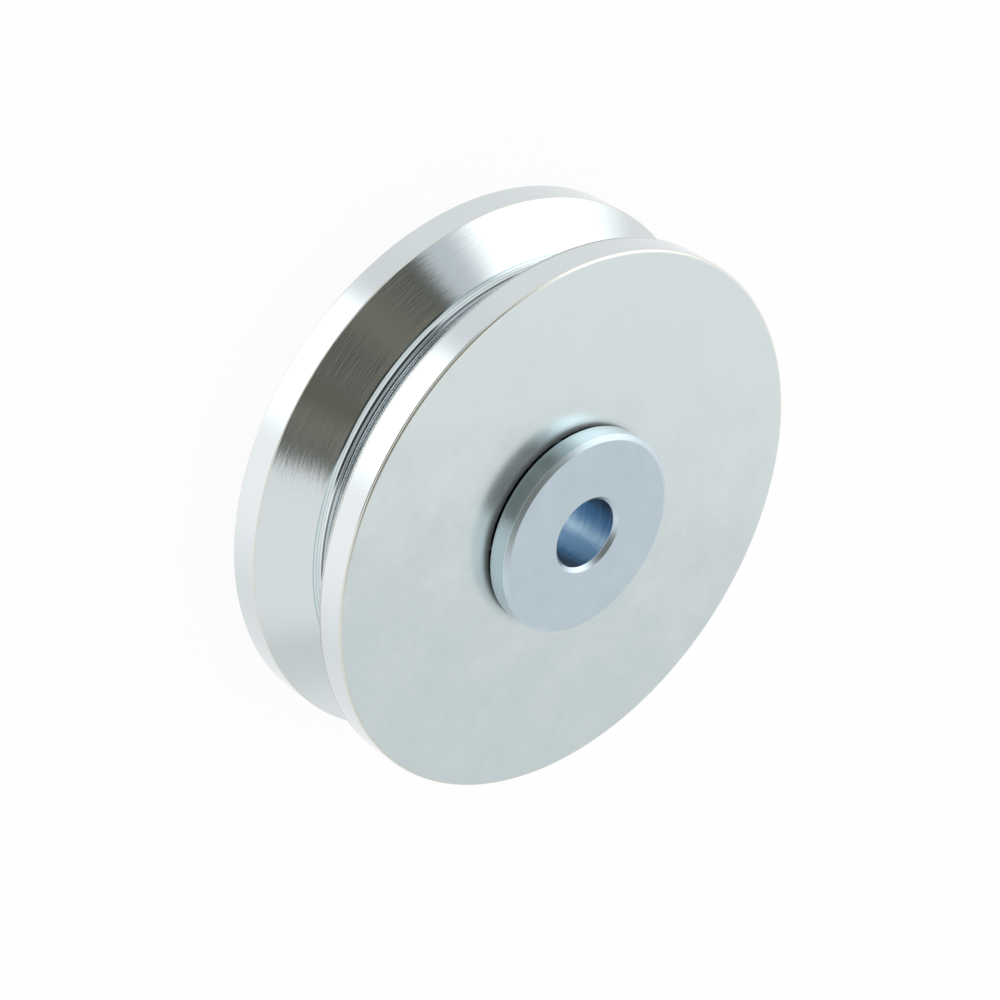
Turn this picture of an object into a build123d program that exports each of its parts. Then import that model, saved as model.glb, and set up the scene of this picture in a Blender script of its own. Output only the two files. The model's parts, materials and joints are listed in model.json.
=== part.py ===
from build123d import *
import os
from math import degrees, radians, tan

# Gate wheel of turned, zinc-plated steel with a V groove, running on one sealed ball bearing.
# The axis is Z, the front face looks up and the origin is the wheel's centre. All sizes are in mm.

# Wheel body
wheel_diameter = 80.0
wheel_width = 22.5
groove_mouth = 13.7
groove_angle = 90.0
groove_root_radius = 1.45
rim_chamfer_axial = 0.36
rim_chamfer_radial = 0.2
bearing_shoulder = 2.7
seat_lead_in = 0.6

# Ball bearing, 15 x 35 x 11. The ball takes a share of the room between bore and outside, and the
# raceways' radius and depth and the cage's width are shares of the ball's diameter.
bearing_bore = 15.0
bearing_diameter = 35.0
bearing_width = 11.0
ring_corner = 0.6
ball_share = 0.5953
ball_count = 8
race_conformity = 0.52
race_depth_share = 0.22
race_clearance = 0.02

# Bearing seals
seal_thickness = 0.65
seal_inset = 0.2
seal_recess_depth = 1.05
seal_land_depth = 1.15
seal_land_width = 1.4
seal_fit = 0.05
seal_lip_gap = 0.15

# Snap cage
cage_band_share = 0.4
cage_back_thickness = 0.6
cage_horn_height = 1.3
cage_slot_width = 1.4
cage_slot_depth = 2.4
pocket_clearance = 0.07

# Hub bushes
bolt_bore = 10.2
flange_diameter = 29.5
flange_thickness = 3.05
flange_edge_radial = 0.7
flange_edge_axial = 0.5
face_gap = 0.7
bush_shoulder = 2.0
bush_end_gap = 0.1
bore_chamfer_radial = 0.58
bore_chamfer_axial = 0.56
spigot_chamfer = 0.4

# Retaining ring behind the bearing
clip_thickness = 1.5
clip_axial_play = 0.1
clip_groove_depth = 1.0
clip_radial_play = 0.05
clip_width = 3.2
clip_taper = 0.5
clip_opening = 8.0
clip_lug_width = 4.4
clip_lug_height = 5.2
clip_lug_hole = 2.2
clip_lug_radius = 0.8

# Fit of the bearing in its seat and of the bushes in the bearing
seat_clearance = 0.01

# Places that follow from the sizes above
wheel_radius = wheel_diameter / 2
half_width = wheel_width / 2
half_mouth = groove_mouth / 2
groove_apex_radius = wheel_radius - half_mouth / tan(radians(groove_angle / 2))
half_bearing = bearing_width / 2
bearing_radius = bearing_diameter / 2
seat_radius = bearing_radius + seat_clearance
opening_radius = bearing_radius - bearing_shoulder
clip_groove_radius = seat_radius + clip_groove_depth
clip_groove_end = half_bearing + clip_thickness + clip_axial_play

pitch_radius = (bearing_bore + bearing_diameter) / 4
ring_section = (bearing_diameter - bearing_bore) / 2
ball_diameter = ball_share * ring_section
ball_radius = ball_diameter / 2
race_radius = race_conformity * ball_diameter
race_depth = race_depth_share * ball_diameter
inner_race_bottom = pitch_radius - ball_radius - race_clearance
outer_race_bottom = pitch_radius + ball_radius + race_clearance
inner_shoulder_radius = inner_race_bottom + race_depth
outer_shoulder_radius = outer_race_bottom - race_depth

seal_land_radius = inner_shoulder_radius - seal_land_depth
seal_recess_radius = outer_shoulder_radius + seal_recess_depth
seal_top = half_bearing - seal_inset
seal_floor = seal_top - seal_thickness
seal_recess_floor = seal_floor - seal_fit

cage_band_width = cage_band_share * ball_diameter
pocket_radius = ball_radius + pocket_clearance
cage_floor = -pocket_radius - cage_back_thickness
ball_step = 360 / ball_count

bore_radius = bolt_bore / 2
flange_radius = flange_diameter / 2
flange_back = half_width + face_gap
hub_end = flange_back + flange_thickness
neck_radius = bearing_bore / 2 + bush_shoulder
spigot_radius = bearing_bore / 2 - seat_clearance


def turned(outline):
    """A solid turned about Z from an outline of (radius, height) points."""
    return revolve(Plane.XZ * make_face(Polyline(*outline, close=True)), axis=Axis.Z)


def both_ways(half_outline):
    """An outline's upper half, followed by its mirror image below the mid-plane."""
    return half_outline + [(radius, -height) for radius, height in reversed(half_outline)]


def ball_place(index):
    """Place of one ball on the pitch circle, with X outwards; a half lies midway between two balls."""
    return Rot(0, 0, index * ball_step) * Pos(pitch_radius, 0)


def wheel_body():
    """Rim with its V groove, both faces, the bearing seat and the retaining ring's groove."""
    chamfer_end = wheel_radius - rim_chamfer_radial
    section = make_face(
        Polyline(
            (opening_radius, half_bearing),
            (opening_radius, half_width),
            (chamfer_end, half_width),
            (wheel_radius, half_width - rim_chamfer_axial),
            (wheel_radius, half_mouth),
            (groove_apex_radius, 0),
            (wheel_radius, -half_mouth),
            (wheel_radius, -half_width + rim_chamfer_axial),
            (chamfer_end, -half_width),
            (seat_radius + seat_lead_in, -half_width),
            (seat_radius, -half_width + seat_lead_in),
            (seat_radius, -clip_groove_end),
            (clip_groove_radius, -clip_groove_end),
            (clip_groove_radius, -half_bearing),
            (seat_radius, -half_bearing),
            (seat_radius, half_bearing),
            close=True,
        )
    )
    groove_apex = section.vertices().sort_by_distance((groove_apex_radius, 0, 0))[0]
    section = fillet(groove_apex, groove_root_radius)
    return revolve(Plane.XZ * section, axis=Axis.Z)


def raceway(bottom_radius, direction):
    """Ring-shaped cutter of the ball groove whose bottom lies at bottom_radius, its seam off the bottom."""
    centre = bottom_radius + direction * race_radius
    return revolve(Plane.XZ * Pos(centre, 0) * Rot(0, 0, 90) * Circle(race_radius), axis=Axis.Z)


def outer_ring():
    """Outer ring with the ball groove and, at each side, the recess that holds a seal."""
    half_outline = [
        (bearing_radius, half_bearing - ring_corner),
        (bearing_radius - ring_corner, half_bearing),
        (seal_recess_radius, half_bearing),
        (seal_recess_radius, seal_recess_floor),
        (outer_shoulder_radius, seal_recess_floor),
    ]
    return turned(both_ways(half_outline)) - raceway(outer_race_bottom, -1)


def inner_ring():
    """Inner ring with the ball groove and, at each side, the lower land that a seal's lip faces."""
    bore = bearing_bore / 2
    half_outline = [
        (bore, half_bearing - ring_corner),
        (bore + ring_corner, half_bearing),
        (seal_land_radius, half_bearing),
        (seal_land_radius, half_bearing - seal_land_width),
        (inner_shoulder_radius, half_bearing - seal_land_width),
    ]
    return turned(both_ways(half_outline)) - raceway(inner_race_bottom, 1)


def seal():
    """Front seal, set in the outer ring's recess, with its lip just clear of the inner ring."""
    outer_edge = seal_recess_radius - seal_fit
    lip = seal_land_radius + seal_lip_gap
    return turned([(lip, seal_top), (outer_edge, seal_top), (outer_edge, seal_floor), (lip, seal_floor)])


def ball_cage():
    """Moulded snap cage: a ring with a pocket for each ball, open at the front, and slots between them."""
    half_band = cage_band_width / 2
    cage = turned(
        [
            (pitch_radius - half_band, cage_horn_height),
            (pitch_radius + half_band, cage_horn_height),
            (pitch_radius + half_band, cage_floor),
            (pitch_radius - half_band, cage_floor),
        ]
    )
    crossing = 2 * cage_band_width
    pocket = Rot(0, 90, 0) * Cylinder(pocket_radius, crossing)
    slot = Pos(0, 0, cage_horn_height) * Box(crossing, cage_slot_width, 2 * cage_slot_depth)
    for index in range(ball_count):
        cage = cage - ball_place(index) * pocket - ball_place(index + 0.5) * slot
    return cage


def hub_bush():
    """Front hub bush: a flange for the fork, a neck against the inner ring and a spigot inside it."""
    return turned(
        [
            (bore_radius + bore_chamfer_radial, hub_end),
            (flange_radius - flange_edge_radial, hub_end),
            (flange_radius, hub_end - flange_edge_axial),
            (flange_radius, flange_back),
            (neck_radius, flange_back),
            (neck_radius, half_bearing),
            (spigot_radius, half_bearing),
            (spigot_radius, bush_end_gap + spigot_chamfer),
            (spigot_radius - spigot_chamfer, bush_end_gap),
            (bore_radius, bush_end_gap),
            (bore_radius, hub_end - bore_chamfer_axial),
        ]
    )


def retaining_ring():
    """Spring ring sprung into its groove, open on one side, with a pierced lug at each end."""
    outer_radius = clip_groove_radius - clip_radial_play
    inner_radius = outer_radius - clip_width
    ring = Circle(outer_radius) - Pos(clip_taper, 0) * Circle(inner_radius)
    lug_centre = outer_radius - clip_lug_height / 2
    turn = degrees((clip_opening + clip_lug_width) / 2 / lug_centre)
    lug_reach = Circle(outer_radius) & Pos(lug_centre, 0) * RectangleRounded(
        clip_lug_height, clip_lug_width, clip_lug_radius
    )
    opening = Pos(outer_radius, 0) * Rectangle(2 * clip_lug_height, clip_opening)
    ring = ring - opening
    for side in (1, -1):
        ring = ring + Rot(0, 0, side * turn) * lug_reach
    for side in (1, -1):
        hole_centre = lug_centre - clip_lug_radius
        ring = ring - Rot(0, 0, side * turn) * Pos(hole_centre, 0) * Circle(clip_lug_hole / 2)
    top = -half_bearing
    return extrude(Plane.XY.offset(top - clip_thickness) * ring, amount=clip_thickness)


def turned_over(solid):
    """The same piece on the rear side, turned half a turn about X."""
    return Rot(180, 0, 0) * solid


def all_nodes():
    """Every node's name with its solid."""
    front_seal = seal()
    front_bush = hub_bush()
    nodes = {
        "wheel_body": wheel_body(),
        "bearing_outer_ring": outer_ring(),
        "bearing_inner_ring": inner_ring(),
        "front_seal": front_seal,
        "rear_seal": turned_over(front_seal),
        "ball_cage": ball_cage(),
        "front_hub_bush": front_bush,
        "rear_hub_bush": turned_over(front_bush),
        "retaining_ring": retaining_ring(),
    }
    for index in range(ball_count):
        nodes[f"ball_{index + 1}"] = ball_place(index) * Sphere(ball_radius)
    return nodes


os.makedirs("parts", exist_ok=True)
for name, solid in all_nodes().items():
    solid.label = name
    export_step(solid, f"parts/{name}.step")
    print(f"{name}: {len(solid.solids())} solid, {solid.volume:.1f} mm3")
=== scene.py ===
"""Looks of a gate wheel with a V groove: turned, zinc-plated steel on a sealed ball bearing.

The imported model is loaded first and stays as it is. The wheel and its two hub bushes, which carry the
whole look, are turned again here with finer roundings and take the place of their solids. Every other
piece keeps its solid and gets a finish. Sizes are in millimetres and become metres when a mesh is made.
"""

import json
import logging
import math
from dataclasses import dataclass
from enum import Enum
from typing import Any, Mapping, Sequence, Union

import bmesh
import bpy
from mathutils import Matrix, Vector

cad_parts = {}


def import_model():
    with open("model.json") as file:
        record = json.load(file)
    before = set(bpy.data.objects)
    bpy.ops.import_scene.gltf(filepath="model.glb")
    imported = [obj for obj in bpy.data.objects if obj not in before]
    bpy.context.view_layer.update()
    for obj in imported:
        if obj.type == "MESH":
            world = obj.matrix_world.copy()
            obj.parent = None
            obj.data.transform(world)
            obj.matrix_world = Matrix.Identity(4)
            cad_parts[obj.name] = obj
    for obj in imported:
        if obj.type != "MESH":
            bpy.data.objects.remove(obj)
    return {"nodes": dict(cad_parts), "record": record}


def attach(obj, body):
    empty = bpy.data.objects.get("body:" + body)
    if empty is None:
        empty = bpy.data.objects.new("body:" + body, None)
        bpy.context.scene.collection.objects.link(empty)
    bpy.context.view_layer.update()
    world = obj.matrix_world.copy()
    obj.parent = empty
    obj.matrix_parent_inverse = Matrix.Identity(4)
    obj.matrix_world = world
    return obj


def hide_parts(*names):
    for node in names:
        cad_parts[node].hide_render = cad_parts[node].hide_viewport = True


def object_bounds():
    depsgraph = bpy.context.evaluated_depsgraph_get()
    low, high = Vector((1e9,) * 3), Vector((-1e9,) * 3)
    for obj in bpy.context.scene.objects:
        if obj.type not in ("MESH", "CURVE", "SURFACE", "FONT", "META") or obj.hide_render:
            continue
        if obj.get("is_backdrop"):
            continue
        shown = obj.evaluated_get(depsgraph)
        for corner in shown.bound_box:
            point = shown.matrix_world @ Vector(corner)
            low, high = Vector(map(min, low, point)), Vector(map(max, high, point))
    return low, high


MM = 0.001
LEAST_RADIUS = 0.01

Colour = tuple[float, float, float]
# Where a mask starts and where it is full
Span = tuple[float, float]
# Cells in a millimetre, and finer layers over them
Grain = tuple[float, float]
# Tool marks side by side in a millimetre, their lengths in one turn, and finer layers over them
ToolMarks = tuple[float, float, float]
Term = Union["Value", float]

log = logging.getLogger("gate_wheel")


def shaded(colour: Colour, share: float) -> Colour:
    """A colour with only a share of its light."""
    red, green, blue = (share * part for part in colour)
    return red, green, blue


@dataclass(frozen=True)
class Value:
    """A number that varies from place to place, held by one socket of a node tree.

    Expressions on values add their Math nodes, so a mask or a height reads as the formula that it is.
    """

    shader: "Shader"
    socket: bpy.types.NodeSocket

    def __add__(self, other: Term) -> "Value":
        """This value plus another."""
        return self.shader.maths("ADD", self, other)

    def __radd__(self, other: Term) -> "Value":
        """Another number plus this value."""
        return self.shader.maths("ADD", other, self)

    def __sub__(self, other: Term) -> "Value":
        """This value less another."""
        return self.shader.maths("SUBTRACT", self, other)

    def __rsub__(self, other: Term) -> "Value":
        """Another number less this value."""
        return self.shader.maths("SUBTRACT", other, self)

    def __mul__(self, other: Term) -> "Value":
        """This value times another."""
        return self.shader.maths("MULTIPLY", self, other)

    def __rmul__(self, other: Term) -> "Value":
        """Another number times this value."""
        return self.shader.maths("MULTIPLY", other, self)

    def __truediv__(self, other: Term) -> "Value":
        """This value divided by another."""
        return self.shader.maths("DIVIDE", self, other)

    def __abs__(self) -> "Value":
        """This value without its sign."""
        return self.shader.maths("ABSOLUTE", self)

    def root(self) -> "Value":
        """The square root of this value."""
        return self.shader.maths("SQRT", self)

    def at_least(self, limit: float) -> "Value":
        """This value, or the limit where the value is under it."""
        return self.shader.maths("MAXIMUM", self, limit)

    def rise(self, start: float, end: float) -> "Value":
        """A smooth mask from 0 where this value is start to 1 where it is end.

        Args:
            start: The value at which the mask leaves 0.
            end: The value at which the mask reaches 1, which may be under start.

        Returns:
            The mask.
        """
        low, high, first, last = (start, end, 0.0, 1.0) if start < end else (end, start, 1.0, 0.0)
        node = self.shader.node(
            "ShaderNodeMapRange",
            {"interpolation_type": "SMOOTHSTEP"},
            {"Value": self, "From Min": low, "From Max": high, "To Min": first, "To Max": last},
        )
        return Value(self.shader, node.outputs["Result"])

    def near(self, middle: float, reach: float, edge: float) -> "Value":
        """A soft-edged mask of the places where this value is near another.

        Args:
            middle: The value in the middle of the mask.
            reach: How far the mask reaches to each side.
            edge: Half the width of its soft edge.

        Returns:
            The mask.
        """
        return abs(self - middle).rise(reach + edge, reach - edge)


@dataclass(frozen=True)
class Shader:
    """A node tree that is written as expressions."""

    tree: bpy.types.NodeTree

    def node(self, kind: str, settings: Mapping[str, Any], inputs: Mapping[Any, Any]) -> bpy.types.Node:
        """Adds a node.

        Args:
            kind: The node's type.
            settings: Its properties, which are set first.
            inputs: What goes into its sockets by name or number: a number, a colour, a value or a socket.

        Returns:
            The new node.
        """
        made = self.tree.nodes.new(kind)
        for name, setting in settings.items():
            setattr(made, name, setting)
        for name, given in inputs.items():
            socket = made.inputs[name]
            if isinstance(given, Value):
                self.tree.links.new(given.socket, socket)
            elif isinstance(given, bpy.types.NodeSocket):
                self.tree.links.new(given, socket)
            elif isinstance(given, tuple) and len(socket.default_value) > len(given):
                socket.default_value = (*given, 1.0)
            else:
                socket.default_value = given
        return made

    def maths(self, operation: str, *terms: Term) -> Value:
        """The result of one Math node on the given terms."""
        node = self.node("ShaderNodeMath", {"operation": operation}, dict(enumerate(terms)))
        return Value(self, node.outputs[0])

    def dot(self, vector: bpy.types.NodeSocket, direction: Vector) -> Value:
        """How far a vector reaches along a fixed direction."""
        node = self.node(
            "ShaderNodeVectorMath", {"operation": "DOT_PRODUCT"}, {0: vector, 1: tuple(direction)}
        )
        return Value(self, node.outputs["Value"])

    def blend(self, mask: Term, first: Any, second: Any) -> bpy.types.NodeSocket:
        """Mixes two colours.

        Args:
            mask: 0 for the first colour, 1 for the second.
            first: A colour, or a socket that gives one.
            second: A colour, or a socket that gives one.

        Returns:
            The socket of the mixed colour.
        """
        node = self.node("ShaderNodeMix", {"data_type": "RGBA"}, {0: mask, 6: first, 7: second})
        return node.outputs[2]

    def noise(self, place: bpy.types.NodeSocket, scale: float, detail: float, across: Term = 0.0) -> Value:
        """Soft random values round 0.5.

        Args:
            place: Where the noise is read.
            scale: How many cells there are in one unit of place.
            detail: How many finer layers are laid over it.
            across: A fourth coordinate.

        Returns:
            The noise.
        """
        node = self.node(
            "ShaderNodeTexNoise",
            {"noise_dimensions": "4D"},
            {"Vector": place, "W": across, "Scale": scale, "Detail": detail},
        )
        return Value(self, node.outputs[0])


@dataclass(frozen=True)
class TurnedPlace:
    """Where a point of a turned piece lies, in millimetres: along X, Y and Z, and out from the axis."""

    shader: Shader
    point: bpy.types.NodeSocket
    x: Value
    y: Value
    z: Value
    radius: Value

    @classmethod
    def read(cls, shader: Shader) -> "TurnedPlace":
        """Reads the place from the piece's own coordinates.

        Args:
            shader: The node tree to add the nodes to.

        Returns:
            The place.
        """
        own = shader.node("ShaderNodeTexCoord", {}, {}).outputs["Object"]
        sized = shader.node("ShaderNodeVectorMath", {"operation": "SCALE"}, {0: own, "Scale": 1 / MM})
        parts = shader.node("ShaderNodeSeparateXYZ", {}, {0: sized.outputs[0]})
        x, y, z = (Value(shader, parts.outputs[name]) for name in "XYZ")
        return cls(shader, sized.outputs[0], x, y, z, (x * x + y * y).root().at_least(LEAST_RADIUS))

    def tool_marks(self, per_mm: float, per_turn: float, detail: float) -> Value:
        """Marks that a lathe tool leaves: fine across the cut and long along it.

        Args:
            per_mm: How many marks lie side by side in a millimetre.
            per_turn: How many lengths of mark make one turn.
            detail: How many finer layers are laid over them.

        Returns:
            The marks, round 0.5.
        """
        reach = per_turn / math.tau
        around = self.shader.node(
            "ShaderNodeCombineXYZ",
            {},
            {"X": self.x / self.radius * reach, "Y": self.y / self.radius * reach, "Z": self.z * per_mm},
        )
        return self.shader.noise(around.outputs[0], 1.0, detail, self.radius * per_mm)


@dataclass(frozen=True)
class Finish:
    """A plain finish: one colour and gloss, with a fine grain."""

    name: str
    colour: Colour
    roughness: float
    metallic: float = 1.0
    grain_per_mm: float = 6.0
    grain_detail: float = 2.0
    grain_height: float = 0.0004
    unevenness: float = 0.15
    worn_size: float = 12.0
    worn_share: float = 0.8
    worn_span: Span = (0.3, 0.75)

    @property
    def material_name(self) -> str:
        """The name of the finish's material, apart from the plain one that the solids bring."""
        return f"finish_{self.name}"

    def material(self) -> bpy.types.Material:
        """Makes the finish's material.

        Returns:
            The material, with its own node tree.
        """
        made = bpy.data.materials.new(self.material_name)
        made.use_nodes = True
        made.node_tree.nodes.clear()
        shader = Shader(made.node_tree)
        surface = shader.node(
            "ShaderNodeBsdfPrincipled", {}, {**self.fixed_inputs(), **self.varied_inputs(shader)}
        )
        shader.node("ShaderNodeOutputMaterial", {}, {"Surface": surface.outputs[0]})
        return made

    def fixed_inputs(self) -> dict[str, Any]:
        """What is the same all over the surface."""
        return {"Metallic": self.metallic}

    def varied_inputs(self, shader: Shader) -> dict[str, Any]:
        """What changes over the surface.

        Args:
            shader: The material's node tree.

        Returns:
            The links of the surface's sockets, by name.
        """
        place = TurnedPlace.read(shader)
        grain = shader.noise(place.point, self.grain_per_mm, self.grain_detail)
        worn = shader.noise(place.point, self.grain_per_mm / self.worn_size, self.grain_detail)
        darker = shaded(self.colour, self.worn_share)
        return {
            "Base Color": shader.blend(worn.rise(*self.worn_span), self.colour, darker),
            "Roughness": self.roughness + (worn - 0.5) * self.unevenness,
            "Normal": self.bumped(shader, grain * self.grain_height),
        }

    def bumped(self, shader: Shader, height: Value) -> bpy.types.NodeSocket:
        """A normal that follows a height.

        Args:
            shader: The material's node tree.
            height: The height in millimetres.

        Returns:
            The socket of the normal.
        """
        bump = shader.node("ShaderNodeBump", {}, {"Height": height * MM, "Distance": 1.0})
        return bump.outputs["Normal"]


@dataclass(frozen=True)
class PlatedWheelFinish(Finish):
    """Bright zinc on turned steel: satin faces with painted shade across them, brighter bands and a groove
    that the rail has brushed, with a painted shade strip in its root.

    Heights start at the wheel's middle plane and are positive in front. A strip and a line are given by
    their middle height and half of their width.
    """

    turned_colour: Colour = (0.62, 0.665, 0.68)
    # The second colour is the faces' painted shade, mixed with random cloudy tone.
    dull_colour: Colour = (0.60, 0.665, 0.68)
    # Painted shade: the colour of the dark strip in the groove's root.
    root_colour: Colour = (0.15, 0.17, 0.18)
    line_colour: Colour = (0.36, 0.49, 0.51)
    lip_colour: Colour = (0.30, 0.30, 0.26)
    edge_colour: Colour = (0.66, 0.62, 0.47)
    face_span: Span = (10.95, 11.2)
    outer_span: Span = (31.0, 32.0)
    rim_span: Span = (39.7, 39.9)
    groove_span: Span = (6.85, 6.75)
    by_hub_span: Span = (16.4, 15.3)
    brushed_span: Span = (-1.0, -1.9)
    front_lip_spans: tuple[Span, Span] = ((6.75, 6.83), (7.27, 7.19))
    rear_lip_spans: tuple[Span, Span] = ((-6.69, -6.79), (-6.97, -6.89))
    corner_span: Span = (50.83, 50.95)
    root_strip: tuple[float, float] = (0.06, 0.2)
    root_lines: tuple[tuple[float, float], ...] = ((-1.22, 0.07), (-0.88, 0.05), (-0.5, 0.06))
    strip_edge: float = 0.03
    # Painted shade across the faces: its direction, its span and its share.
    dull_way: tuple[float, float] = (0.84, 0.337)
    dull_span: Span = (-38.0, 34.0)
    dull_share: float = 0.8
    cloud_share: float = 0.9
    patch_share: float = 0.4
    speck_span: Span = (0.25, 0.55)
    lip_share: float = 0.6
    edge_share: float = 0.4
    satin: float = 0.1
    groove_roughness: float = 0.1
    band_roughness: float = 0.14
    opening_roughness: float = 0.42
    face_mark_height: float = 0.0003
    groove_mark_height: float = 0.014
    patch_grain: Grain = (0.5, 4.0)
    fine_grain: Grain = (5.0, 2.0)
    cloud_grain: Grain = (0.11, 5.0)
    fine_marks: ToolMarks = (6.0, 110.0, 2.0)
    coarse_marks: ToolMarks = (1.3, 24.0, 2.0)

    def fixed_inputs(self) -> dict[str, Any]:
        """What is the same all over the surface."""
        return {}

    def varied_inputs(self, shader: Shader) -> dict[str, Any]:
        """What changes over the surface.

        Args:
            shader: The material's node tree.

        Returns:
            The links of the surface's sockets, by name.
        """
        place = TurnedPlace.read(shader)
        depth = abs(place.z)
        face = depth.rise(*self.face_span)
        groove = depth.rise(*self.groove_span) * place.radius.rise(*self.outer_span)
        patches = shader.noise(place.point, *self.patch_grain)
        fine = shader.noise(place.point, *self.fine_grain)
        tint = shader.blend(face, self.turned_colour, self.dulled(place, patches))
        # The first strip is painted shade in the groove's root; the others are thin teal lines.
        for colour, middle, reach in self.root_marks():
            strip = place.z.near(middle, reach, self.strip_edge)
            tint = shader.blend(strip * groove, tint, colour)
        specks = fine.rise(*self.speck_span) * self.lip_share
        tint = shader.blend(self.lip(place) * specks, tint, self.lip_colour)
        tint = shader.blend(self.edge(place) * self.edge_share, tint, self.edge_colour)
        marks = place.tool_marks(*self.fine_marks) + place.tool_marks(*self.coarse_marks)
        brushed = groove * place.z.rise(*self.brushed_span) * self.groove_mark_height
        height = marks * ((1 - groove) * self.face_mark_height + brushed) + fine * self.grain_height
        by_hub = face * place.radius.rise(*self.by_hub_span)
        gloss = self.band_roughness + face * (self.roughness - self.band_roughness)
        gloss = gloss - groove * (self.band_roughness - self.groove_roughness)
        gloss = gloss + by_hub * (self.opening_roughness - self.roughness)
        return {
            "Base Color": tint,
            "Metallic": self.metallic - face * self.satin,
            "Roughness": gloss + (patches - 0.5) * self.unevenness,
            "Normal": self.bumped(shader, height),
        }

    def root_marks(self) -> Sequence[tuple[Colour, float, float]]:
        """The strips at the groove's root: each one's colour, middle height and half width. The first is
        painted shade, the others are thin teal lines.
        """
        lines = [(self.line_colour, *line) for line in self.root_lines]
        return [(self.root_colour, *self.root_strip), *lines]

    def dulled(self, place: TurnedPlace, patches: Value) -> bpy.types.NodeSocket:
        """The colour of the faces: painted shade that darkens them from one side to the other, with soft
        clouds of random tone over it.

        Args:
            place: The place that is read.
            patches: Soft random values round 0.5.

        Returns:
            The socket of the colour.
        """
        along_x, along_y = self.dull_way
        cloud = place.shader.noise(place.point, *self.cloud_grain)
        # Painted shade from one side of the faces to the other, with random clouds and patches added over
        # it.
        shade_and_cloud = (place.x * along_x + place.y * along_y).rise(*self.dull_span) * self.dull_share
        shade_and_cloud = shade_and_cloud + (cloud - 0.5) * self.cloud_share + (patches - 0.5) * self.patch_share
        return place.shader.blend(shade_and_cloud.rise(0.0, 1.0), self.colour, self.dull_colour)

    def lip(self, place: TurnedPlace) -> Value:
        """Mask of the worn line along the groove's front lip."""
        return self.beside(place, self.front_lip_spans)

    def edge(self, place: TurnedPlace) -> Value:
        """Mask of the yellowish lines where the plating is thickest: the rim's edges and the rear lip."""
        corners = (place.radius + abs(place.z)).rise(*self.corner_span)
        return corners + self.beside(place, self.rear_lip_spans)

    def beside(self, place: TurnedPlace, spans: tuple[Span, Span]) -> Value:
        """Mask of a line round the rim.

        Args:
            place: The place that is read.
            spans: The soft edges of the line on its two sides, as heights.

        Returns:
            The mask, which leaves out all that is further in than the rim.
        """
        one_side, other_side = spans
        return place.z.rise(*one_side) * place.z.rise(*other_side) * place.radius.rise(*self.rim_span)


@dataclass(frozen=True)
class PlatedBushFinish(Finish):
    """Satin zinc on a turned bush, with a lighter edge and a bluer bore with lighter tool marks, a painted
    highlight streak along it and painted light on its +X side.
    """

    edge_colour: Colour = (0.56, 0.67, 0.71)
    bore_colour: Colour = (0.27, 0.46, 0.66)
    # The lighter bore colour is taken by the tool marks and by the painted highlight and painted light.
    bore_light: Colour = (0.88, 0.96, 1.0)
    grain_detail: float = 3.0
    cloud_grain: Grain = (0.25, 3.0)
    bore_marks: ToolMarks = (3.0, 10.0, 3.0)
    bore_span: Span = (5.16, 5.12)
    edge_span: Span = (14.68, 14.73)
    cloud_span: Span = (0.3, 0.7)
    cloud_share: float = 0.95
    # Painted highlight: a streak along the bore's walls on both sides of x = 0.
    rubbed_left: Span = (-3.0, -0.4)
    rubbed_right: Span = (3.4, 0.8)
    rubbed_share: float = 0.8
    # Painted light on the bore's +X side.
    beside_span: Span = (0.6, 2.6)
    beside_share: float = 0.7
    mark_span: Span = (0.38, 0.66)
    mark_share: float = 0.3
    bore_roughness: float = 0.3
    edge_roughness: float = 0.17
    mark_height: float = 0.003

    def varied_inputs(self, shader: Shader) -> dict[str, Any]:
        """What changes over the surface.

        Args:
            shader: The material's node tree.

        Returns:
            The links of the surface's sockets, by name.
        """
        place = TurnedPlace.read(shader)
        bore = place.radius.rise(*self.bore_span)
        edge = place.radius.rise(*self.edge_span)
        grain = shader.noise(place.point, self.grain_per_mm, self.grain_detail)
        cloud = shader.noise(place.point, *self.cloud_grain)
        marks = place.tool_marks(*self.bore_marks)
        darker = shaded(self.colour, self.cloud_share)
        satin = shader.blend(cloud.rise(*self.cloud_span), self.colour, darker)
        satin = shader.blend(edge, satin, self.edge_colour)
        # Painted highlight: a lighter streak along the bore's walls on both sides of x = 0.
        highlight = place.x.rise(*self.rubbed_left) * place.x.rise(*self.rubbed_right)
        light = marks.rise(*self.mark_span) * self.mark_share + highlight * self.rubbed_share
        # Painted light: the bore's +X side is made lighter.
        light = light + place.x.rise(*self.beside_span) * self.beside_share
        blue = shader.blend(light, self.bore_colour, self.bore_light)
        height = grain * self.grain_height * (1 - bore) + marks * bore * self.mark_height
        gloss = self.roughness - bore * (self.roughness - self.bore_roughness)
        gloss = gloss - edge * (self.roughness - self.edge_roughness)
        return {
            "Base Color": shader.blend(bore, satin, blue),
            "Roughness": gloss + (grain - 0.5) * self.unevenness,
            "Normal": self.bumped(shader, height),
        }


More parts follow.
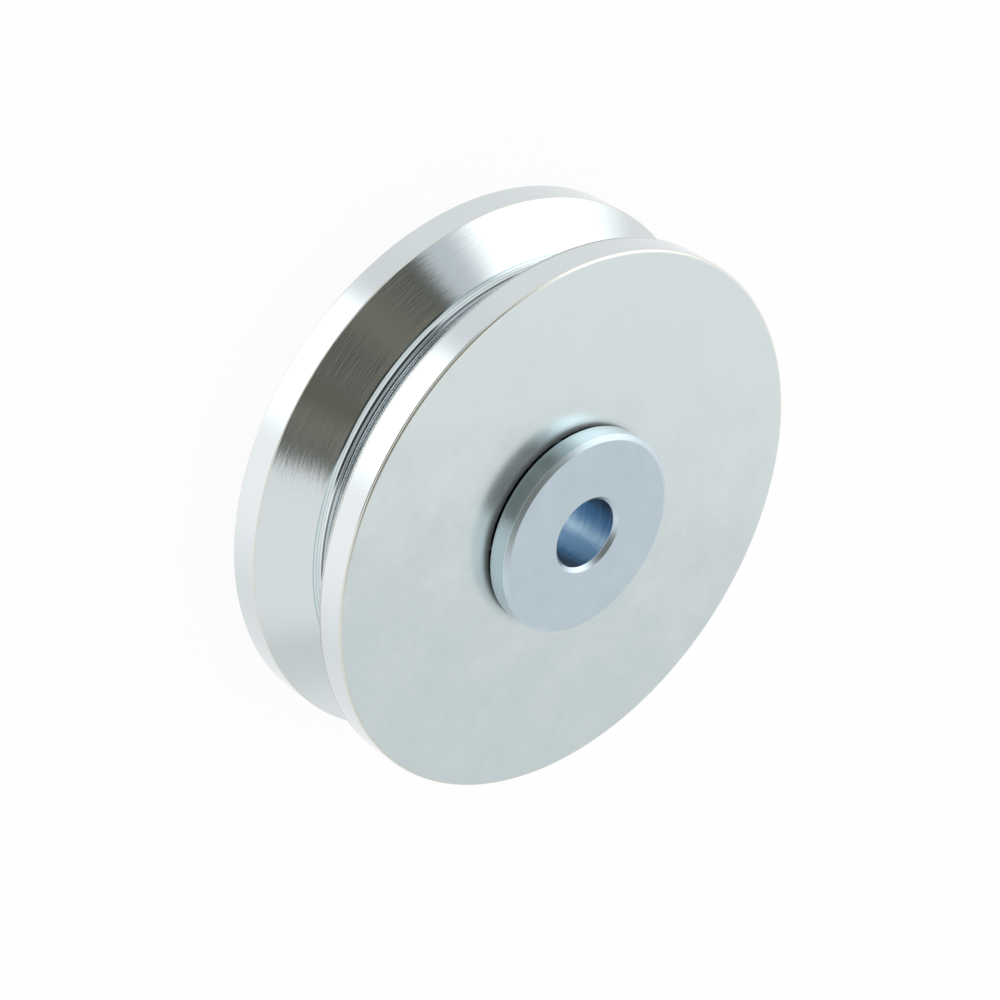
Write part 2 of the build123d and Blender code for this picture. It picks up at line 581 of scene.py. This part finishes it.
class Slot(Enum):
    """The record's material slots, each with its finish."""

    PLATED_WHEEL = PlatedWheelFinish(
        "plated_wheel", (0.735, 0.79, 0.795), 0.25, grain_height=0.00012, unevenness=0.05
    )
    PLATED_BUSH = PlatedBushFinish(
        "plated_bush", (0.55, 0.64, 0.70), 0.34, grain_per_mm=9.0, grain_height=0.0004, unevenness=0.08
    )
    BEARING_STEEL = Finish("bearing_steel", (0.50, 0.51, 0.52), 0.22)
    BALL_STEEL = Finish("ball_steel", (0.62, 0.63, 0.64), 0.06, grain_height=0.0)
    CAGE_NYLON = Finish("cage_nylon", (0.60, 0.50, 0.32), 0.5, metallic=0.0, grain_height=0.002)
    SEAL_RUBBER = Finish("seal_rubber", (0.022, 0.022, 0.024), 0.6, metallic=0.0, grain_height=0.003)
    SPRING_STEEL = Finish("spring_steel", (0.075, 0.075, 0.08), 0.42, metallic=0.6, grain_height=0.002)

    @property
    def material(self) -> bpy.types.Material:
        """The slot's material, made when it is first asked for."""
        return bpy.data.materials.get(self.value.material_name) or self.value.material()


@dataclass(frozen=True)
class Corner:
    """A corner of a turned outline, and how far its rounding reaches along both of its sides."""

    radius: float
    height: float
    rounding: float = 0.0
    steps: int = 4

    def on_side(self, side: int) -> "Corner":
        """The same corner in front for 1, or mirrored to the rear for -1."""
        return Corner(self.radius, side * self.height, self.rounding, self.steps)


@dataclass(frozen=True)
class TurnedPiece:
    """A piece turned about Z, which takes the place of one solid.

    hold is how far from a long side's ends the points lie that keep its shading flat, and a side is long
    from long_from times hold. merged is the distance under which points become one, and sharp_angle is
    in degrees.
    """

    node: str
    body: str
    slot: Slot
    turn_steps: int
    hold: float = 0.06
    long_from: float = 4.0
    merged: float = 1e-4
    sharp_angle: float = 28.0

    def outline(self) -> Sequence[Corner]:
        """The corners of the piece's outline, in order."""
        raise NotImplementedError

    def build(self) -> bpy.types.Object:
        """Makes the piece, dresses it and puts it in its solid's place.

        Returns:
            The finished piece.
        """
        form = self.rounded_outline()
        self.hold_flats(form)
        self.turn(form)
        mesh = bpy.data.meshes.new(self.node)
        form.to_mesh(mesh)
        form.free()
        mesh.shade_smooth()
        mesh.set_sharp_from_angle(angle=math.radians(self.sharp_angle))
        mesh.materials.append(self.slot.material)
        piece = bpy.data.objects.new(f"turned_{self.node}", mesh)
        bpy.context.scene.collection.objects.link(piece)
        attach(piece, self.body)
        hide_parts(self.node)
        log.info("%s: %d faces, %s", piece.name, len(mesh.polygons), self.slot.value.name)
        return piece

    def rounded_outline(self) -> bmesh.types.BMesh:
        """Makes one flat face of the outline, with its corners rounded.

        Returns:
            The mesh, which holds the outline alone.
        """
        form = bmesh.new()
        corners = self.outline()
        points = [form.verts.new((MM * corner.radius, 0, MM * corner.height)) for corner in corners]
        form.faces.new(points)
        for point, corner in zip(points, corners):
            if corner.rounding:
                bmesh.ops.bevel(
                    form,
                    geom=[point],
                    offset=MM * corner.rounding,
                    offset_type="OFFSET",
                    affect="VERTICES",
                    segments=corner.steps,
                    profile=0.5,
                    material=-1,
                )
        return form

    def turn(self, form: bmesh.types.BMesh) -> None:
        """Turns the outline's edges all round the axis, into a closed skin whose faces point outwards.

        Args:
            form: The mesh that holds the outline alone.
        """
        bmesh.ops.delete(form, geom=form.faces[:], context="FACES_ONLY")
        bmesh.ops.spin(
            form,
            geom=form.verts[:] + form.edges[:],
            cent=(0, 0, 0),
            axis=(0, 0, 1),
            angle=math.tau,
            steps=self.turn_steps,
            use_merge=True,
        )
        bmesh.ops.remove_doubles(form, verts=form.verts, dist=MM * self.merged)
        bmesh.ops.recalc_face_normals(form, faces=form.faces)
        if form.calc_volume(signed=True) < 0:
            bmesh.ops.reverse_faces(form, faces=form.faces)

    def hold_flats(self, form: bmesh.types.BMesh) -> None:
        """Adds a point near both ends of each long side, so that its shading stays flat beside a rounding.

        Args:
            form: The mesh that holds the outline alone.
        """
        hold = MM * self.hold
        for side in form.edges[:]:
            length = side.calc_length()
            if length > self.long_from * hold:
                start, end = side.verts
                near_start = bmesh.utils.edge_split(side, start, hold / length)[1]
                longer = max(near_start.link_edges, key=lambda edge: edge.calc_length())
                bmesh.utils.edge_split(longer, end, hold / longer.calc_length())


@dataclass(frozen=True)
class Wheel(TurnedPiece):
    """The wheel body: a rim with a V groove, two flat faces and the bearing's stepped seat.

    The opening and the root's rounding are a little off the solid's, as the photograph shows them.
    """

    body: str = "wheel"
    slot: Slot = Slot.PLATED_WHEEL
    turn_steps: int = 512
    rim_radius: float = 40.0
    half_width: float = 11.25
    half_mouth: float = 6.85
    apex_radius: float = 33.15
    root_rounding: float = 1.9
    root_steps: int = 16
    rim_rounding: float = 0.42
    rim_steps: int = 8
    lip_rounding: float = 0.07
    lip_steps: int = 3
    opening_radius: float = 14.35
    opening_rounding: float = 0.12
    seat_radius: float = 17.51
    seat_lead_in: float = 0.6
    seat_rounding: float = 0.08
    seat_steps: int = 2
    seat_half_length: float = 5.5
    clip_groove_radius: float = 18.51
    clip_groove_end: float = 7.1

    def outline(self) -> Sequence[Corner]:
        """The corners of the wheel's outline, from the front opening outwards and round to it again."""
        rim = Corner(self.rim_radius, self.half_width, self.rim_rounding, self.rim_steps)
        lip = Corner(self.rim_radius, self.half_mouth, self.lip_rounding, self.lip_steps)
        lead_in_radius = self.seat_radius + self.seat_lead_in
        lead_in_end = -self.half_width + self.seat_lead_in
        return (
            Corner(self.opening_radius, self.half_width, self.opening_rounding),
            rim,
            lip,
            Corner(self.apex_radius, 0.0, self.root_rounding, self.root_steps),
            lip.on_side(-1),
            rim.on_side(-1),
            Corner(lead_in_radius, -self.half_width, self.seat_rounding, self.seat_steps),
            Corner(self.seat_radius, lead_in_end, self.seat_rounding, self.seat_steps),
            Corner(self.seat_radius, -self.clip_groove_end),
            Corner(self.clip_groove_radius, -self.clip_groove_end),
            Corner(self.clip_groove_radius, -self.seat_half_length),
            Corner(self.seat_radius, -self.seat_half_length),
            Corner(self.seat_radius, self.seat_half_length),
            Corner(self.opening_radius, self.seat_half_length),
        )


@dataclass(frozen=True)
class HubBush(TurnedPiece):
    """A hub bush: a flange, a neck against the bearing and a spigot inside it.

    side is 1 for the front bush and -1 for the rear one, which is its mirror image.
    """

    body: str = "hub"
    slot: Slot = Slot.PLATED_BUSH
    turn_steps: int = 256
    side: int = 1
    end: float = 15.0
    back: float = 11.95
    flange_radius: float = 14.75
    edge_radial: float = 0.7
    edge_axial: float = 0.5
    bore_radius: float = 5.1
    bore_chamfer_radial: float = 0.58
    bore_chamfer_axial: float = 0.56
    neck_radius: float = 9.5
    neck_end: float = 5.5
    spigot_radius: float = 7.49
    spigot_end: float = 0.1
    spigot_chamfer: float = 0.4
    bore_rounding: float = 0.05
    bore_steps: int = 2
    end_rounding: float = 0.07
    side_rounding: float = 0.03
    back_rounding: float = 0.04
    flange_steps: int = 3
    neck_rounding: float = 0.2

    def outline(self) -> Sequence[Corner]:
        """The corners of the bush's outline, from the bore's mouth outwards and round to it again."""
        mouth_radius = self.bore_radius + self.bore_chamfer_radial
        mouth_end = self.end - self.bore_chamfer_axial
        end_radius = self.flange_radius - self.edge_radial
        side_end = self.end - self.edge_axial
        front = (
            Corner(mouth_radius, self.end, self.bore_rounding, self.bore_steps),
            Corner(end_radius, self.end, self.end_rounding, self.flange_steps),
            Corner(self.flange_radius, side_end, self.side_rounding, self.flange_steps),
            Corner(self.flange_radius, self.back, self.back_rounding, self.flange_steps),
            Corner(self.neck_radius, self.back, self.neck_rounding),
            Corner(self.neck_radius, self.neck_end),
            Corner(self.spigot_radius, self.neck_end),
            Corner(self.spigot_radius, self.spigot_end + self.spigot_chamfer),
            Corner(self.spigot_radius - self.spigot_chamfer, self.spigot_end),
            Corner(self.bore_radius, self.spigot_end),
            Corner(self.bore_radius, mouth_end, self.bore_rounding, self.bore_steps),
        )
        return [corner.on_side(self.side) for corner in front]


@dataclass(frozen=True)
class Card:
    """A soft-edged rectangle in the studio round the object, which only mirrors show.

    Angles are in degrees. Azimuth 0 is the camera's side and 90 is the side of +X.
    """

    azimuth: float
    elevation: float
    half_width: float
    half_height: float
    edge: float
    colour: Colour
    behind_span: Span = (0.02, 0.1)

    def mask(self, shader: Shader, direction: bpy.types.NodeSocket) -> Value:
        """Where the card is.

        Args:
            shader: The world's node tree.
            direction: The direction that is looked in.

        Returns:
            1 on the card and 0 off it.
        """
        turn = Matrix.Rotation(math.radians(self.azimuth), 3, "Z")
        lift = Matrix.Rotation(math.radians(-self.elevation), 3, "X")
        right, ahead, up = (turn @ lift @ Vector(axis) for axis in ((1, 0, 0), (0, -1, 0), (0, 0, 1)))
        facing = shader.dot(direction, ahead)
        inside = facing.rise(*self.behind_span)
        for axis, half in ((right, self.half_width), (up, self.half_height)):
            away = abs(shader.dot(direction, axis)) / facing.at_least(self.behind_span[0])
            outer, inner = (math.tan(math.radians(half + edge)) for edge in (self.edge, -self.edge))
            inside = inside * away.rise(outer, inner)
        return inside


@dataclass(frozen=True)
class Studio:
    """A white studio: pale floor, white surroundings, and the cards and lights that the metal mirrors."""

    floor_height: float
    floor_radius: float = 2500.0
    floor_drop: float = 0.02
    floor_sides: int = 64
    paper: Colour = (0.98, 0.98, 0.98)
    shadow_share: float = 0.1
    backdrop: Colour = (1.0, 1.0, 1.0)
    surroundings: Colour = (1.03, 1.03, 1.03)
    cards: tuple[Card, ...] = (
        Card(-125, 42, 55, 35, 9, (1.15, 1.15, 1.15)),
        Card(125, 38, 55, 32, 9, (0.85, 0.87, 0.87)),
        Card(80, 38, 26, 32, 10, (1.05, 1.05, 1.05)),
        Card(-104, 24, 22, 30, 16, (1.9, 1.9, 1.9)),
        Card(-60, 45, 13, 35, 7, (0.74, 0.78, 0.80)),
        Card(-10, 55.5, 34, 25.5, 4, (0.075, 0.076, 0.068)),
        Card(-10, 77, 32, 27, 9, (0.28, 0.27, 0.225)),
        Card(-28, 57, 6, 24, 6, (0.23, 0.22, 0.18)),
        Card(12, 57, 4, 24, 4, (0.165, 0.16, 0.13)),
        Card(30, -42, 35, 30, 20, (1.30, 1.28, 1.28)),
        Card(-3, -42, 20, 30, 10, (2.05, 2.05, 2.05)),
        Card(-44, -42, 10, 26, 8, (0.98, 0.98, 1.0)),
        Card(0, -21, 38, 13, 4, (0.05, 0.05, 0.05)),
    )

    def build(self) -> None:
        """Makes the floor and the surroundings."""
        self.build_floor()
        self.build_world()

    def build_floor(self) -> None:
        """Makes the floor: white with a soft shadow from above, and clear when seen from below."""
        radius, height = MM * self.floor_radius, MM * (self.floor_height - self.floor_drop)
        form = bmesh.new()
        bmesh.ops.create_circle(form, cap_ends=True, radius=radius, segments=self.floor_sides)
        bmesh.ops.translate(form, verts=form.verts, vec=(0, 0, height))
        form.normal_update()
        if any(face.normal.z < 0 for face in form.faces):
            bmesh.ops.reverse_faces(form, faces=form.faces)
        mesh = bpy.data.meshes.new("floor")
        form.to_mesh(mesh)
        form.free()
        floor = bpy.data.objects.new("floor", mesh)
        bpy.context.scene.collection.objects.link(floor)
        mesh.materials.append(self.floor_finish())
        floor.visible_glossy = False
        floor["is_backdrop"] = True
        log.info("floor: at %.2f mm", self.floor_height)

    def floor_finish(self) -> bpy.types.Material:
        """The floor's finish.

        Returns:
            The material: it glows white to the camera, takes a soft shadow and is clear from below.
        """
        finish = bpy.data.materials.new("floor_white")
        finish.use_nodes = True
        finish.node_tree.nodes.clear()
        shader = Shader(finish.node_tree)
        paper = shader.node("ShaderNodeBsdfDiffuse", {}, {"Color": self.paper})
        glow = shader.node("ShaderNodeEmission", {}, {"Color": self.backdrop, "Strength": 1.0})
        path = shader.node("ShaderNodeLightPath", {}, {})
        seen = Value(shader, path.outputs["Is Camera Ray"]) * (1 - self.shadow_share)
        above = {0: seen, 1: paper.outputs[0], 2: glow.outputs[0]}
        mixed = shader.node("ShaderNodeMixShader", {}, above)
        below = shader.node("ShaderNodeNewGeometry", {}, {}).outputs["Backfacing"]
        clear = shader.node("ShaderNodeBsdfTransparent", {}, {})
        both_sides = {0: below, 1: mixed.outputs[0], 2: clear.outputs[0]}
        shown = shader.node("ShaderNodeMixShader", {}, both_sides)
        shader.node("ShaderNodeOutputMaterial", {}, {"Surface": shown.outputs[0]})
        return finish

    def build_world(self) -> None:
        """Makes the surroundings: white to the camera, and white with the cards on it to a mirror."""
        world = bpy.data.worlds.new("studio")
        world.use_nodes = True
        world.node_tree.nodes.clear()
        world.cycles.sampling_method = "NONE"
        shader = Shader(world.node_tree)
        direction = shader.node("ShaderNodeTexCoord", {}, {}).outputs["Generated"]
        path = shader.node("ShaderNodeLightPath", {}, {})
        glossy = Value(shader, path.outputs["Is Glossy Ray"])
        mirrored = glossy + Value(shader, path.outputs["Is Transmission Ray"])
        colour: Any = self.surroundings
        for card in self.cards:
            colour = shader.blend(card.mask(shader, direction), colour, card.colour)
        seen = shader.blend(mirrored.rise(0.0, 1.0), self.backdrop, colour)
        light = shader.node("ShaderNodeBackground", {}, {"Color": seen, "Strength": 1.0})
        shader.node("ShaderNodeOutputWorld", {}, {"Surface": light.outputs[0]})
        bpy.context.scene.world = world
        log.info("studio: %d cards", len(self.cards))


@dataclass(frozen=True)
class PhotoCamera:
    """The camera at the photograph's place, found by fitting the wheel's rims.

    Angles are in degrees, the place, the lens and the sensor in mm and the clipping range in metres.
    """

    place: tuple[float, float, float] = (2.457, -493.875, 389.570)
    elevation: float = 38.33
    roll: float = 122.9
    lens: float = 165.94
    sensor: float = 36.0
    clipping: Span = (0.01, 20.0)

    def build(self) -> None:
        """Makes the camera and looks through it."""
        data = bpy.data.cameras.new("camera")
        data.lens, data.sensor_width = self.lens, self.sensor
        data.clip_start, data.clip_end = self.clipping
        camera = bpy.data.objects.new("camera", data)
        look_down = Matrix.Rotation(math.radians(90 - self.elevation), 4, "X")
        roll = Matrix.Rotation(math.radians(self.roll), 4, "Z")
        camera.matrix_world = Matrix.Translation(MM * Vector(self.place)) @ look_down @ roll
        bpy.context.scene.collection.objects.link(camera)
        bpy.context.scene.camera = camera


def dress_solids(frame: Mapping[str, Any], turned: set[str]) -> None:
    """Gives every solid that still shows the finish of its slot.

    Args:
        turned: The nodes that a turned piece replaces.
    """
    for part in frame["record"]["subparts"]:
        name = part["node"]
        if name in turned:
            continue
        solid = frame["nodes"][name]
        slot = Slot[part["material_slot"].upper()]
        solid.data.materials.clear()
        solid.data.materials.append(slot.material)
        log.info("%s: %s", name, slot.value.name)


def main() -> None:
    """Loads the frame and builds the object, its studio and its camera."""
    logging.basicConfig(level=logging.INFO, format="%(name)s %(message)s")
    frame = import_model()
    cad_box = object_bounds()
    pieces = (
        Wheel("wheel_body"),
        HubBush("front_hub_bush", side=1),
        HubBush("rear_hub_bush", side=-1),
    )
    for piece in pieces:
        piece.build()
    dress_solids(frame, {piece.node for piece in pieces})
    Studio(floor_height=cad_box[0].z / MM).build()
    PhotoCamera().build()
    bpy.context.scene.view_settings.view_transform = "Standard"


if __name__ == "__main__":
    main()
